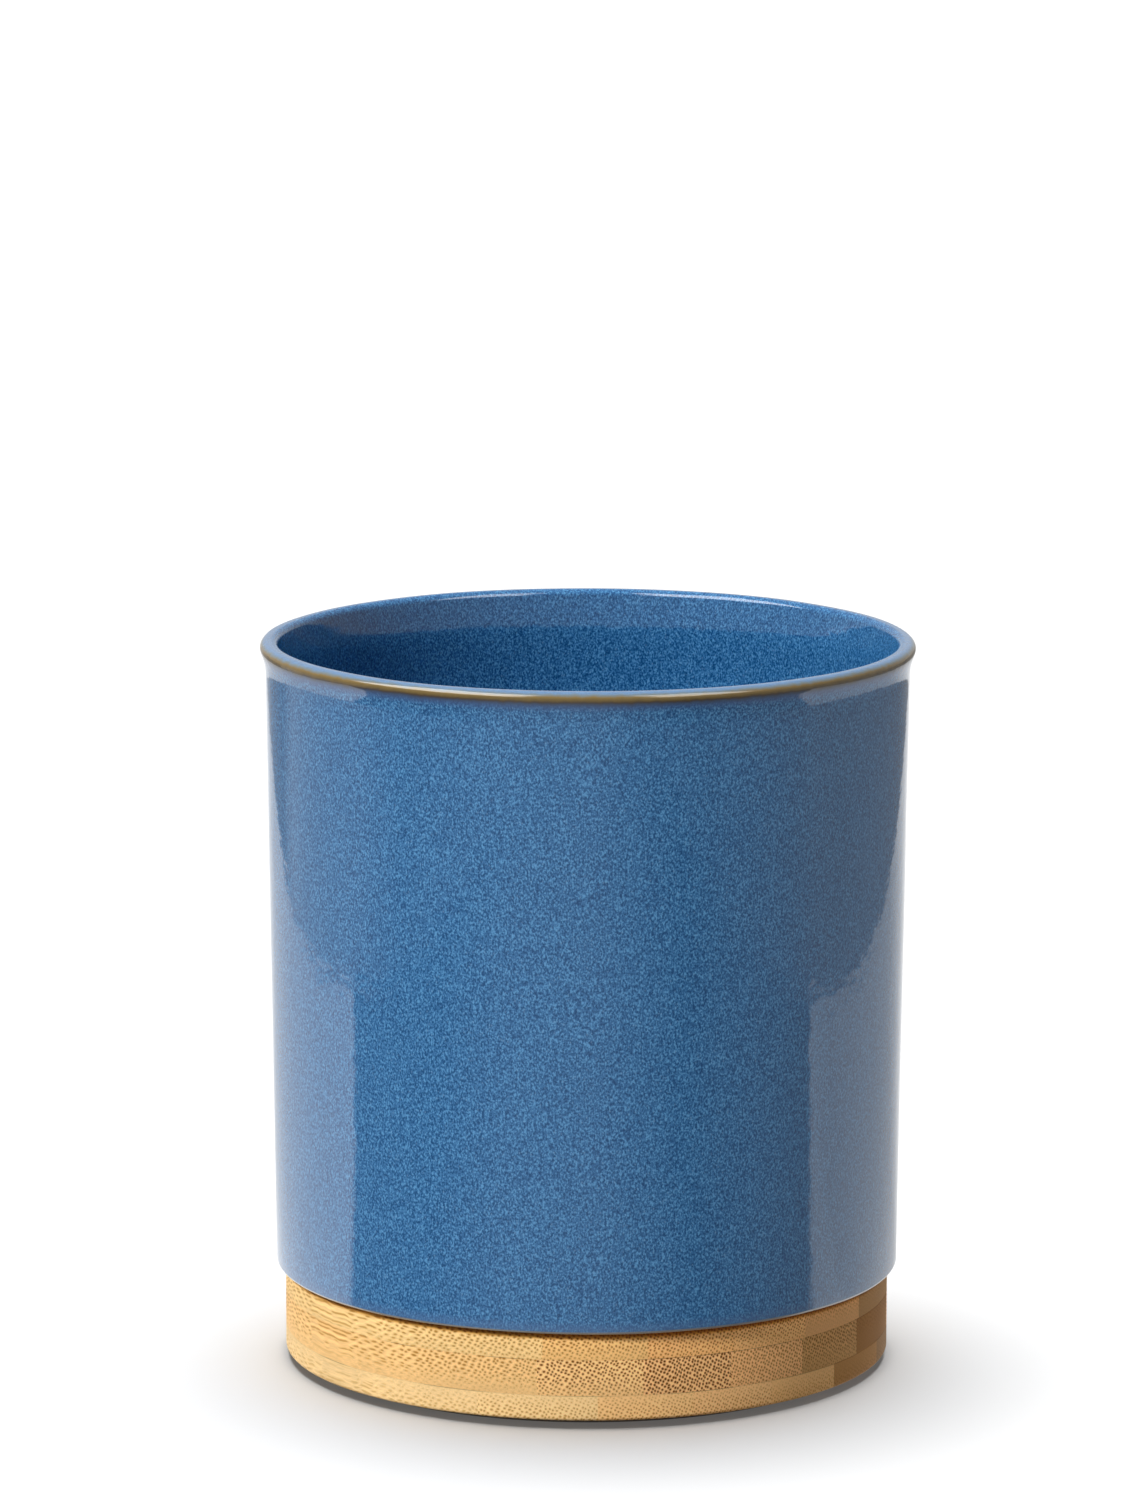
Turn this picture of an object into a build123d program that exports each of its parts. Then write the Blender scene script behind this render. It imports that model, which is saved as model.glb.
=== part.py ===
from build123d import *
import os

# A kitchen utensil crock: a thrown and glazed stoneware vessel that stands on a
# round bamboo base, with a grey non-slip pad under it. Lengths are millimetres.
# The table is at height zero, +Z is up, and the vessel's axis is the Z axis.

os.makedirs("parts", exist_ok=True)

# The whole crock, from the table to the top of the lip
overall_height = 183.0

# Stoneware vessel: a slightly widening wall with a lip that flares at its top
wall_foot_radius = 78.2
wall_head_radius = 80.4
wall_foot_thickness = 5.2
wall_head_thickness = 4.6
wall_edge_chamfer = 1.0
floor_thickness = 6.0
floor_bevel = 6.0

# Lip: the head of the wall bends outwards and ends in a crowned edge
flare_height = 7.0
flare_reach = 1.7
lip_thickness = 4.4
lip_crown = 1.1

# Foot ring: the unglazed ring that the vessel stands on
foot_setback = 6.7
foot_width = 6.0
foot_hollow = 1.8
foot_chamfer = 0.7

# Seat: the turned recess in the base that keeps the vessel central
recess_depth = 2.0
seat_clearance = 1.0
shadow_gap = 0.3

# Bamboo base: three plies of flat strips, glued and then turned to a disc
base_setback = 2.1
top_ply_thickness = 6.7
core_ply_thickness = 9.0
bottom_ply_thickness = 6.3
top_edge_chamfer = 0.5
bottom_edge_chamfer = 0.8

# The strips of all plies run one way, turned from the crock's front towards its
# right, and one glue joint of each ply is this far from the axis
grain_turn = 33.0
strip_width = 22.0
least_edge_strip = 8.0
top_joint_place = 16.0
core_joint_place = 15.0
bottom_joint_place = 5.0

# Non-slip pad: a rubber disc stuck under the base, smaller than it
pad_inset = 6.1
pad_thickness = 2.0

# Radii that follow from the vessel's wall
base_radius = wall_foot_radius - base_setback
pad_radius = base_radius - pad_inset
foot_radius = wall_foot_radius - foot_setback
recess_radius = foot_radius + seat_clearance

# Heights of the layers, from the table up
bottom_ply_underside = pad_thickness
core_ply_underside = bottom_ply_underside + bottom_ply_thickness
top_ply_underside = core_ply_underside + core_ply_thickness
base_top = top_ply_underside + top_ply_thickness
seat_height = base_top - recess_depth


across_the_strips = Plane((0, 0, 0), z_dir=Vector(1, 0, 0).rotate(Axis.Z, grain_turn))


def strip_joints(one_joint):
    """Upright planes of the glue joints of a ply that has one at one_joint."""
    furthest = base_radius - least_edge_strip
    first_step = -int((furthest + one_joint) // strip_width)
    last_step = int((furthest - one_joint) // strip_width)
    steps = range(first_step, last_step + 1)
    return [across_the_strips.offset(one_joint + step * strip_width) for step in steps]


# The pad is cut from sheet rubber, so its edges are square
with BuildPart() as non_slip_pad:
    with BuildSketch():
        Circle(pad_radius)
    extrude(amount=pad_thickness)
non_slip_pad.part.label = "non_slip_pad"
export_step(non_slip_pad.part, "parts/non_slip_pad.step")


# The bottom ply carries the turned bevel along the base's lower edge
with BuildPart() as base_bottom_ply:
    with BuildSketch(Plane.XY.offset(bottom_ply_underside)):
        Circle(base_radius)
    extrude(amount=bottom_ply_thickness)
    bottom_rims = base_bottom_ply.edges().filter_by(GeomType.CIRCLE).sort_by(Axis.Z)
    chamfer(bottom_rims.first, length=bottom_edge_chamfer)
    for joint in strip_joints(bottom_joint_place):
        split(bisect_by=joint, keep=Keep.BOTH)
base_bottom_ply.part.label = "base_bottom_ply"
export_step(base_bottom_ply.part, "parts/base_bottom_ply.step")


# The core ply is the thickest, and its joints miss those above and below
with BuildPart() as base_core_ply:
    with BuildSketch(Plane.XY.offset(core_ply_underside)):
        Circle(base_radius)
    extrude(amount=core_ply_thickness)
    for joint in strip_joints(core_joint_place):
        split(bisect_by=joint, keep=Keep.BOTH)
base_core_ply.part.label = "base_core_ply"
export_step(base_core_ply.part, "parts/base_core_ply.step")


# The top ply has the recess that the vessel's foot ring drops into
with BuildPart() as base_top_ply:
    with BuildSketch(Plane.XY.offset(top_ply_underside)):
        Circle(base_radius)
    extrude(amount=top_ply_thickness)
    with BuildSketch(Plane.XY.offset(seat_height)):
        Circle(recess_radius)
    extrude(amount=recess_depth, mode=Mode.SUBTRACT)
    top_rims = base_top_ply.edges().filter_by(GeomType.CIRCLE).group_by(Axis.Z)[-1]
    chamfer(top_rims.sort_by(SortBy.RADIUS).last, length=top_edge_chamfer)
    for joint in strip_joints(top_joint_place):
        split(bisect_by=joint, keep=Keep.BOTH)
base_top_ply.part.label = "base_top_ply"
export_step(base_top_ply.part, "parts/base_top_ply.step")


# Section of the vessel, with the radius across and the height up
wall_foot_height = base_top + shadow_gap
flare_start = overall_height - flare_height
hollow_height = seat_height + foot_hollow
inner_floor_height = hollow_height + floor_thickness
lip_radius = wall_head_radius + flare_reach
lip_edge_height = overall_height - lip_crown
foot_inner_radius = foot_radius - foot_width

floor_centre = (0, inner_floor_height)
floor_corner = (wall_foot_radius - wall_foot_thickness, inner_floor_height)
inner_flare_start = (wall_head_radius - wall_head_thickness, flare_start)
inner_lip_edge = (lip_radius - lip_thickness, lip_edge_height)
lip_top = (lip_radius - lip_thickness / 2, overall_height)
outer_lip_edge = (lip_radius, lip_edge_height)
outer_flare_start = (wall_head_radius, flare_start)
wall_edge = (wall_foot_radius, wall_foot_height)
foot_root = (foot_radius, wall_foot_height)
foot_outer_edge = (foot_radius, seat_height)
foot_inner_edge = (foot_inner_radius, seat_height)
hollow_corner = (foot_inner_radius, hollow_height)
hollow_centre = (0, hollow_height)

bevelled_corners = [
    (floor_corner, floor_bevel),
    (wall_edge, wall_edge_chamfer),
    (foot_outer_edge, foot_chamfer),
    (foot_inner_edge, foot_chamfer),
]

with BuildPart() as crock_body:
    with BuildSketch(Plane.XZ) as crock_section:
        with BuildLine():
            Polyline(floor_centre, floor_corner, inner_flare_start, inner_lip_edge)
            ThreePointArc(inner_lip_edge, lip_top, outer_lip_edge)
            outer_wall = Line(wall_edge, outer_flare_start)
            TangentArc(outer_flare_start, outer_lip_edge, tangent=outer_wall % 1)
            Polyline(wall_edge, foot_root, foot_outer_edge, foot_inner_edge)
            Polyline(foot_inner_edge, hollow_corner, hollow_centre, floor_centre)
        make_face()
        for corner, bevel in bevelled_corners:
            chamfer(crock_section.vertices().sort_by_distance(corner).first, length=bevel)
    revolve(axis=Axis.Z)
crock_body.part.label = "crock_body"
export_step(crock_body.part, "parts/crock_body.step")

for piece in (crock_body, base_top_ply, base_core_ply, base_bottom_ply, non_slip_pad):
    box = piece.part.bounding_box()
    solids = len(piece.part.solids())
    print(f"{piece.part.label}: {solids} solids, {box.min.Z:.1f} to {box.max.Z:.1f} high, {box.size.X:.1f} across")
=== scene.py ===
import math

import bmesh
import bpy
from mathutils import Matrix, Vector


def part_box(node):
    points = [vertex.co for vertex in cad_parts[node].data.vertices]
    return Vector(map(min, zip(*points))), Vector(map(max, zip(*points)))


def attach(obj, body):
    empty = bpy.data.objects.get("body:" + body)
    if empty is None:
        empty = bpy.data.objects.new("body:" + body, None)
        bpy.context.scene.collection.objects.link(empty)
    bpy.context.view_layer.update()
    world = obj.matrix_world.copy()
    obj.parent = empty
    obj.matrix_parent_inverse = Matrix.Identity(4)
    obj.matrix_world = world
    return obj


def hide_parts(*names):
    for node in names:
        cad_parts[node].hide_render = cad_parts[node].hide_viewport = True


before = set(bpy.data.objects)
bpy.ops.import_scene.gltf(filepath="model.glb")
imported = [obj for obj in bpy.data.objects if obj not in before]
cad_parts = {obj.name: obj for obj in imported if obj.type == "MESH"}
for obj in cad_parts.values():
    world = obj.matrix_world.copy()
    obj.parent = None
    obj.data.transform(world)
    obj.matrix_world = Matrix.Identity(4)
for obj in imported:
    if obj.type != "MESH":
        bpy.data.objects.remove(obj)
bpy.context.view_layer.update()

# Non-slip pad
# A disc of grey rubber sheet, die cut and stuck under the bamboo. Its cut edge is
# nearly square, and the sheet's faces keep the fine grain of the press.
MM_IN_A_METRE = 1000.0


def mm(length):
    """A length in millimetres, in metres."""
    return length / MM_IN_A_METRE


def in_mm(length):
    """A length in metres, in millimetres."""
    return length * MM_IN_A_METRE


def linear(hex_colour):
    """Linear RGBA of an sRGB colour such as "8a8078", by the curve of the sRGB standard."""
    channels = [int(hex_colour[start : start + 2], 16) / 255 for start in (0, 2, 4)]
    return [c / 12.92 if c <= 0.04045 else ((c + 0.055) / 1.055) ** 2.4 for c in channels] + [1]


def add(tree, kind, inputs=None, **settings):
    """Adds a node with its settings. Each input is another node's socket or a value."""
    node = tree.nodes.new(kind)
    for name, value in settings.items():
        setattr(node, name, value)
    for socket, value in (inputs or {}).items():
        if isinstance(value, bpy.types.NodeSocket):
            tree.links.new(value, node.inputs[socket])
        else:
            node.inputs[socket].default_value = value
    return node


# Several sockets of a Mix node share a name, so they go by number. These are the ones
# that it uses when it mixes colours.
FACTOR = 0
COLOUR_A = 6
COLOUR_B = 7
MIXED = 2


def new_material(name):
    """A material with an empty node tree, and that tree."""
    material = bpy.data.materials.new(name)
    material.use_nodes = True
    material.node_tree.nodes.clear()
    return material, material.node_tree


# The lathe turns a section about the Z axis. A section runs clockwise, with its
# radius across and its height up, and its attribute "round" is each corner's
# rounding. A circle carries it round the axis, so the circle's radius is taken off
# the section's own radii.
LATHE_CIRCLE = mm(50)
STEPS_ROUND = 288
STEPS_AT_A_CORNER = 10
POLE_MERGE = mm(0.002)
LATHE_INPUTS = [
    ("Section", "NodeSocketGeometry"),
    ("Circle Radius", "NodeSocketFloat"),
    ("Steps Round", "NodeSocketInt"),
    ("Steps at a Corner", "NodeSocketInt"),
    ("Longest Step", "NodeSocketFloat"),
    ("Wave Height", "NodeSocketFloat"),
    ("Wave Length", "NodeSocketFloat"),
    ("Material", "NodeSocketMaterial"),
]


def make_lathe():
    """The geometry node tree that turns a section into a closed piece."""
    tree = bpy.data.node_groups.new("Lathe", "GeometryNodeTree")
    for name, kind in LATHE_INPUTS:
        tree.interface.new_socket(name, in_out="INPUT", socket_type=kind)
    tree.interface.new_socket(
        "Turned Piece", in_out="OUTPUT", socket_type="NodeSocketGeometry"
    )
    given = tree.nodes.new("NodeGroupInput").outputs

    # The section's corners are rounded, and its long runs cut into short steps
    line = add(tree, "GeometryNodeMeshToCurve", {"Mesh": given["Section"]})
    rounding = add(tree, "GeometryNodeInputNamedAttribute", {"Name": "round"})
    rounded = add(
        tree,
        "GeometryNodeFilletCurve",
        {
            "Curve": line.outputs["Curve"],
            "Count": given["Steps at a Corner"],
            "Radius": rounding.outputs["Attribute"],
            "Limit Radius": True,
        },
        mode="POLY",
    )
    here = add(tree, "GeometryNodeInputPosition").outputs["Position"]
    following = add(tree, "GeometryNodeOffsetPointInCurve", {"Offset": 1})
    there = add(
        tree,
        "GeometryNodeFieldAtIndex",
        {"Index": following.outputs["Point Index"], "Value": here},
        data_type="FLOAT_VECTOR",
    )
    run = add(
        tree,
        "ShaderNodeVectorMath",
        {0: here, 1: there.outputs["Value"]},
        operation="DISTANCE",
    )
    cuts = add(
        tree,
        "ShaderNodeMath",
        {0: run.outputs["Value"], 1: given["Longest Step"]},
        operation="DIVIDE",
    )
    stepped = add(
        tree,
        "GeometryNodeSubdivideCurve",
        {"Curve": rounded.outputs["Curve"], "Cuts": cuts.outputs["Value"]},
    )

    # The circle carries the section round, and its ends close at the two poles
    circle = add(
        tree,
        "GeometryNodeCurvePrimitiveCircle",
        {"Resolution": given["Steps Round"], "Radius": given["Circle Radius"]},
    )
    upright = add(
        tree, "GeometryNodeSetCurveNormal", {"Curve": circle.outputs["Curve"]}, mode="Z_UP"
    )
    turned = add(
        tree,
        "GeometryNodeCurveToMesh",
        {"Curve": upright.outputs["Curve"], "Profile Curve": stepped.outputs["Curve"]},
    )
    merged = add(
        tree,
        "GeometryNodeMergeByDistance",
        {"Geometry": turned.outputs["Mesh"], "Distance": POLE_MERGE},
    )

    # A hand leaves a turned wall a little wavy
    wave_scale = add(tree, "ShaderNodeMath", {0: 1.0, 1: given["Wave Length"]}, operation="DIVIDE")
    wave = add(
        tree,
        "ShaderNodeTexNoise",
        {"Scale": wave_scale.outputs["Value"], "Detail": 1.0},
        normalize=False,
    )
    height = add(
        tree,
        "ShaderNodeMath",
        {0: wave.outputs["Fac"], 1: given["Wave Height"]},
        operation="MULTIPLY",
    )
    outward = add(tree, "GeometryNodeInputNormal").outputs["Normal"]
    shift = add(
        tree,
        "ShaderNodeVectorMath",
        {0: outward, "Scale": height.outputs["Value"]},
        operation="SCALE",
    )
    waved = add(
        tree,
        "GeometryNodeSetPosition",
        {"Geometry": merged.outputs["Geometry"], "Offset": shift.outputs["Vector"]},
    )
    smooth = add(tree, "GeometryNodeSetShadeSmooth", {"Geometry": waved.outputs["Geometry"]})
    real = add(
        tree, "GeometryNodeRealizeInstances", {"Geometry": smooth.outputs["Geometry"]}
    )
    covered = add(
        tree,
        "GeometryNodeSetMaterial",
        {"Geometry": real.outputs["Geometry"], "Material": given["Material"]},
    )
    result = tree.nodes.new("NodeGroupOutput")
    tree.links.new(covered.outputs["Geometry"], result.inputs["Turned Piece"])
    return tree


lathe = make_lathe()


def turn(name, section, material, longest_step, wave_height=0.0, wave_length=mm(40)):
    """The mesh of a turned piece. The section is (radius, height, rounding) in mm.

    With no wave height the piece is true, whatever the wave's length.
    """
    drawn = bpy.data.meshes.new(name + "_section")
    points = [(mm(radius) - LATHE_CIRCLE, -mm(height), 0) for radius, height, _ in section]
    drawn.from_pydata(points, [(n, n + 1) for n in range(len(points) - 1)], [])
    rounding = drawn.attributes.new("round", "FLOAT", "POINT")
    rounding.data.foreach_set("value", [mm(corner) for _, _, corner in section])
    blank = bpy.data.objects.new(name + "_section", drawn)
    bpy.context.scene.collection.objects.link(blank)
    turning = blank.modifiers.new("Turning", "NODES")
    turning.node_group = lathe
    sizes = {
        "Circle Radius": LATHE_CIRCLE,
        "Steps Round": STEPS_ROUND,
        "Steps at a Corner": STEPS_AT_A_CORNER,
        "Longest Step": longest_step,
        "Wave Height": wave_height,
        "Wave Length": wave_length,
        "Material": material,
    }
    for item in lathe.interface.items_tree:
        if item.in_out == "INPUT" and item.name in sizes:
            turning[item.identifier] = sizes[item.name]
    depsgraph = bpy.context.evaluated_depsgraph_get()
    mesh = bpy.data.meshes.new_from_object(blank.evaluated_get(depsgraph))
    mesh.name = name
    bpy.data.objects.remove(blank)
    return mesh


def place(name, mesh, body, node):
    """Shows the mesh in place of its CAD node."""
    piece = bpy.data.objects.new(name, mesh)
    bpy.context.scene.collection.objects.link(piece)
    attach(piece, body)
    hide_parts(node)


# Pressed rubber sheet: matt and warm grey, with pale specks of filler in it
RUBBER_DARK = "8a8279"
RUBBER_LIGHT = "a1998f"
FILLER_PALE = "b5ada2"
RUBBER_GRAIN = mm(0.5)
RUBBER_MOTTLE = mm(9)
PRESS_DEPTH = mm(0.06)
rubber, tree = new_material("Pressed rubber sheet")
coords = add(tree, "ShaderNodeTexCoord").outputs["Object"]
grain = add(
    tree,
    "ShaderNodeTexNoise",
    {"Vector": coords, "Scale": 1 / RUBBER_GRAIN, "Detail": 3.0, "Roughness": 0.6},
)
mottle = add(tree, "ShaderNodeTexNoise", {"Vector": coords, "Scale": 1 / RUBBER_MOTTLE})
toned = add(
    tree,
    "ShaderNodeMix",
    {
        FACTOR: mottle.outputs["Fac"],
        COLOUR_A: linear(RUBBER_DARK),
        COLOUR_B: linear(RUBBER_LIGHT),
    },
    data_type="RGBA",
)
speck = add(
    tree, "ShaderNodeMapRange", {"Value": grain.outputs["Fac"], "From Min": 0.55, "From Max": 0.75}
)
speckled = add(
    tree,
    "ShaderNodeMix",
    {
        FACTOR: speck.outputs["Result"],
        COLOUR_A: toned.outputs[MIXED],
        COLOUR_B: linear(FILLER_PALE),
    },
    data_type="RGBA",
)
pressed = add(
    tree,
    "ShaderNodeBump",
    {"Height": grain.outputs["Fac"], "Distance": PRESS_DEPTH, "Strength": 0.6},
)
surface = add(
    tree,
    "ShaderNodeBsdfPrincipled",
    {
        "Base Color": speckled.outputs[MIXED],
        "Roughness": 0.78,
        "IOR": 1.5,
        "Normal": pressed.outputs["Normal"],
    },
)
add(tree, "ShaderNodeOutputMaterial", {"Surface": surface.outputs["BSDF"]})

PAD_EDGE_ROUND = 0.3
BASE_STEP = mm(6)
_, pad_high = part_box("non_slip_pad")
pad_radius = in_mm(pad_high.x)
pad_top = in_mm(pad_high.z)
pad_section = [
    (0, pad_top, 0),
    (pad_radius, pad_top, PAD_EDGE_ROUND),
    (pad_radius, 0, PAD_EDGE_ROUND),
    (0, 0, 0),
]
pad_mesh = turn("non_slip_pad_rubber", pad_section, rubber, BASE_STEP)
place("non_slip_pad_rubber", pad_mesh, "base", "non_slip_pad")


# Bottom ply of the base
# Flat strips of bamboo, split from the stalk, planed, steamed to honey colour and
# glued edge to edge. The whole base was turned, sanded and oiled after gluing, and
# the bottom ply carries its rounded lower edge.

# Each strip: spacing of its vascular bundles in mm, how dark they are, the share of
# the ply's thickness that they fill from the skin side, and the strip's colour. The
# sixth strip's colour is darker than the wood, as painted shade on the base's right side.
# Bundles are too fine to show one by one in the render, so they are drawn up to a
# tenth further apart than they are.
BOTTOM_STRIPS = [
    (0.88, 0.24, 0.80, "f6d196"),
    (0.86, 0.40, 0.85, "f7d195"),
    (0.86, 0.45, 0.90, "f8c889"),
    (0.84, 0.45, 0.90, "f9c688"),
    (0.84, 0.30, 0.80, "f8c483"),
    (0.84, 0.20, 0.60, "c28e53"),
    (0.85, 0.20, 0.80, "ab8151"),
]
STRIP_WIDTH = 22

# All strips run straight across the disc, turned this far from the front to the right
GRAIN_TURN = math.radians(33)


def set_stops(ramp_node, stops):
    """Gives a colour ramp its stops, in order. Each is a position and a linear colour."""
    elements = ramp_node.color_ramp.elements
    while len(elements) < len(stops):
        elements.new(1.0)
    for element, (position, colour) in zip(elements, stops):
        element.position = position
        element.color = colour


def radius_at(tree, coords):
    """How far each point is from the Z axis."""
    flat = add(tree, "ShaderNodeVectorMath", {0: coords, 1: (1.0, 1.0, 0.0)}, operation="MULTIPLY")
    length = add(tree, "ShaderNodeVectorMath", {0: flat.outputs["Vector"]}, operation="LENGTH")
    return length.outputs["Value"]


# Fibres wander by up to half of this, over lengths like these. The bundles stand in
# rows that slant across a strip, a little closer together across it than through it.
WANDER = (mm(1.4), 0, mm(1.2))
WANDER_LENGTHS = (mm(30), mm(26), mm(30))
ROW_SLANT = math.radians(27)
ROW_SQUEEZE = (1.08, 0.92, 1.0)


def wandering_fibres(tree, coords):
    """Each point, moved as the fibres wander, and its place on a cut across them.

    The fibres run along Y.
    """
    slow = add(
        tree,
        "ShaderNodeVectorMath",
        {0: coords, 1: [1 / length for length in WANDER_LENGTHS]},
        operation="MULTIPLY",
    )
    wander = add(tree, "ShaderNodeTexNoise", {"Vector": slow.outputs["Vector"], "Detail": 1.0})
    centred = add(
        tree,
        "ShaderNodeVectorMath",
        {0: wander.outputs["Color"], 1: (0.5, 0.5, 0.5)},
        operation="SUBTRACT",
    )
    along = add(
        tree,
        "ShaderNodeVectorMath",
        {0: centred.outputs["Vector"], 1: WANDER, 2: coords},
        operation="MULTIPLY_ADD",
    )
    parts = add(tree, "ShaderNodeSeparateXYZ", {"Vector": along.outputs["Vector"]})
    end_grain = add(
        tree, "ShaderNodeCombineXYZ", {"X": parts.outputs["X"], "Y": parts.outputs["Z"]}
    )
    across = add(
        tree,
        "ShaderNodeMapping",
        {
            "Vector": end_grain.outputs["Vector"],
            "Rotation": (0, 0, ROW_SLANT),
            "Scale": ROW_SQUEEZE,
        },
    )
    return along.outputs["Vector"], across.outputs["Vector"]


# A bundle's radius is a share of the spacing. It is drawn largest at the skin side,
# where the bundles crowd, and smallest deep inside, and every bundle differs a little.
ROW_UNEVENNESS = 0.42
RADIUS_AT_SKIN = 0.38
RADIUS_DEEP_DOWN = 0.27
SMALLEST_BUNDLE = 0.92
LARGEST_BUNDLE = 1.06
DARK_MIDDLE = 0.35

# Where the outline runs along the fibres, ground tissue covers some of each bundle
COVERED_FROM = mm(68)
COVERED_TO = mm(76)
LEFT_UNCOVERED = 0.68


def vascular_bundles(tree, across, off_middle, depth, strip_grain):
    """How dark the bundles make each point, and how pale the tissue between them is.

    Bundles are dots where they are cut across, and streaks where they are cut along.
    """
    spacing, darkness, reach = strip_grain
    per_metre = add(tree, "ShaderNodeMath", {0: MM_IN_A_METRE, 1: spacing}, operation="DIVIDE")
    bundles = add(
        tree,
        "ShaderNodeTexVoronoi",
        {
            "Vector": across,
            "Scale": per_metre.outputs["Value"],
            "Randomness": ROW_UNEVENNESS,
        },
        voronoi_dimensions="2D",
    )
    filled = add(tree, "ShaderNodeMath", {0: depth, 1: reach}, operation="DIVIDE")
    size = add(
        tree,
        "ShaderNodeMapRange",
        {
            "Value": filled.outputs["Value"],
            "From Max": 1.6,
            "To Min": RADIUS_AT_SKIN,
            "To Max": RADIUS_DEEP_DOWN,
        },
    )
    own_size = add(tree, "ShaderNodeSeparateXYZ", {"Vector": bundles.outputs["Color"]})
    vary = add(
        tree,
        "ShaderNodeMapRange",
        {"Value": own_size.outputs["X"], "To Min": SMALLEST_BUNDLE, "To Max": LARGEST_BUNDLE},
    )
    radius = add(
        tree,
        "ShaderNodeMath",
        {0: size.outputs["Result"], 1: vary.outputs["Result"]},
        operation="MULTIPLY",
    )
    middle = add(
        tree, "ShaderNodeMath", {0: radius.outputs["Value"], 1: DARK_MIDDLE}, operation="MULTIPLY"
    )
    dot = add(
        tree,
        "ShaderNodeMapRange",
        {
            "Value": bundles.outputs["Distance"],
            "From Min": middle.outputs["Value"],
            "From Max": radius.outputs["Value"],
            "To Min": 1.0,
            "To Max": 0.0,
        },
        interpolation_type="SMOOTHSTEP",
    )

    # The bundles fade over the second half of their reach, and go on faintly below it
    fade = add(
        tree,
        "ShaderNodeMapRange",
        {
            "Value": filled.outputs["Value"],
            "From Min": 0.55,
            "From Max": 1.25,
            "To Min": 1.0,
            "To Max": 0.22,
        },
    )
    to_side = add(tree, "ShaderNodeMath", {0: off_middle}, operation="ABSOLUTE")
    uncovered = add(
        tree,
        "ShaderNodeMapRange",
        {
            "Value": to_side.outputs["Value"],
            "From Min": COVERED_FROM,
            "From Max": COVERED_TO,
            "To Min": 1.0,
            "To Max": LEFT_UNCOVERED,
        },
    )
    dark = dot.outputs["Result"]
    for share in (fade.outputs["Result"], uncovered.outputs["Result"], darkness):
        dark = add(tree, "ShaderNodeMath", {0: dark, 1: share}, operation="MULTIPLY").outputs[0]

    # The tissue between two bundles is paler than the rest
    between = add(
        tree,
        "ShaderNodeMapRange",
        {"Value": bundles.outputs["Distance"], "From Min": 0.4, "From Max": 0.6, "To Max": 0.45},
    )
    pale_share = add(
        tree,
        "ShaderNodeMath",
        {0: between.outputs["Result"], 1: fade.outputs["Result"]},
        operation="MULTIPLY",
    )
    net_shade = add(
        tree,
        "ShaderNodeMath",
        {0: pale_share.outputs["Value"], 1: darkness, 2: 1.0},
        operation="MULTIPLY_ADD",
    )
    return dark, net_shade.outputs["Value"]


# Streaks are about a millimetre wide and high, and 60 mm long along the fibres
STREAK_SIZE = (mm(1.3), mm(60), mm(0.9))
PORE_SPACING = mm(0.3)
CLOUD_SIZE = mm(24)
CLOUD_SEED = 3.0


def ground_tissue(tree, coords, along, across, seed):
    """Long streaks along the fibres, and the shade that they, clouds and pores give."""
    streak_scale = add(
        tree,
        "ShaderNodeVectorMath",
        {0: along, 1: [1 / length for length in STREAK_SIZE]},
        operation="MULTIPLY",
    )
    streaks = add(
        tree,
        "ShaderNodeTexNoise",
        {"Vector": streak_scale.outputs["Vector"], "Detail": 4.0, "Roughness": 0.6, "W": seed},
        noise_dimensions="4D",
    )
    pores = add(
        tree,
        "ShaderNodeTexNoise",
        {"Vector": across, "Scale": 1 / PORE_SPACING, "Detail": 2.0},
        noise_dimensions="2D",
    )
    cloud = add(
        tree,
        "ShaderNodeTexNoise",
        {"Vector": coords, "Scale": 1 / CLOUD_SIZE, "Detail": 2.0, "W": seed + CLOUD_SEED},
        noise_dimensions="4D",
    )
    mixed = add(
        tree,
        "ShaderNodeMath",
        {0: streaks.outputs["Fac"], 1: cloud.outputs["Fac"]},
        operation="ADD",
    )
    shade = add(
        tree,
        "ShaderNodeMapRange",
        {
            "Value": mixed.outputs["Value"],
            "From Min": 0.7,
            "From Max": 1.3,
            "To Min": 0.88,
            "To Max": 1.1,
        },
    )
    pore_shade = add(
        tree,
        "ShaderNodeMapRange",
        {
            "Value": pores.outputs["Fac"],
            "From Min": 0.35,
            "From Max": 0.65,
            "To Min": 0.92,
            "To Max": 1.04,
        },
    )
    streaked = add(
        tree,
        "ShaderNodeMath",
        {0: shade.outputs["Result"], 1: pore_shade.outputs["Result"]},
        operation="MULTIPLY",
    )
    return streaks.outputs["Fac"], streaked.outputs["Value"]


# Glue shows as a thin dark line along a ply's upper face, in stretches
GLUE_BROWN = "6b4117"
GLUE_HEIGHT = mm(0.22)
GLUE_FULL_HEIGHT = mm(0.06)
GLUE_STRETCH = mm(17)
GLUE_SEED = 7.0


def glue_line(tree, coords, height, high, seed):
    """How much of the glue under the ply's upper face shows at each point."""
    below = add(tree, "ShaderNodeMath", {0: height, 1: high}, operation="SUBTRACT")
    near = add(
        tree,
        "ShaderNodeMapRange",
        {
            "Value": below.outputs["Value"],
            "From Min": -GLUE_HEIGHT,
            "From Max": -GLUE_FULL_HEIGHT,
        },
    )
    patch = add(
        tree,
        "ShaderNodeTexNoise",
        {"Vector": coords, "Scale": 1 / GLUE_STRETCH, "Detail": 0.0, "W": seed + GLUE_SEED},
        noise_dimensions="4D",
    )
    show = add(
        tree,
        "ShaderNodeMapRange",
        {
            "Value": patch.outputs["Fac"],
            "From Min": 0.48,
            "From Max": 0.58,
            "To Min": 0.12,
            "To Max": 0.6,
        },
    )
    dark = add(
        tree,
        "ShaderNodeMath",
        {0: near.outputs["Result"], 1: show.outputs["Result"]},
        operation="MULTIPLY",
    )
    return dark.outputs["Value"]
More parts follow.
